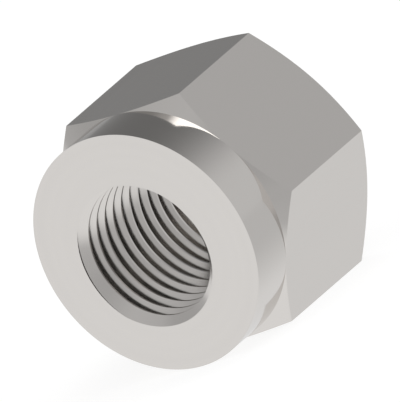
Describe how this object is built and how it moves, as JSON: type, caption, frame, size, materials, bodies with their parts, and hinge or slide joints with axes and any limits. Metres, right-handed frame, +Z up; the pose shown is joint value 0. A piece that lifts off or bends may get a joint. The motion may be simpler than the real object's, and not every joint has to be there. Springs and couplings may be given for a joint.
{
  "type": "fitting nut",
  "caption": "Hexagonal fitting nut with chamfered corners and a round collar at its mouth, threaded right through",
  "frame": {"origin": "centre of the footprint: on the bottom flat of the hexagon, half way along the nut, straight below the bore axis", "axes": "+Y along the bore from the mouth to the rear, so the mouth faces -Y; +X from corner to corner of the hexagon; +Z up, out of the top flat"},
  "size_m": [0.0184, 0.0134, 0.016],
  "materials": {
    "nut_metal": "bright, finely machined stainless steel, warm grey, turned end faces and milled flats"
  },
  "bodies": {
    "root": {"nut_body": "nut_metal"}
  },
  "joints": []
}
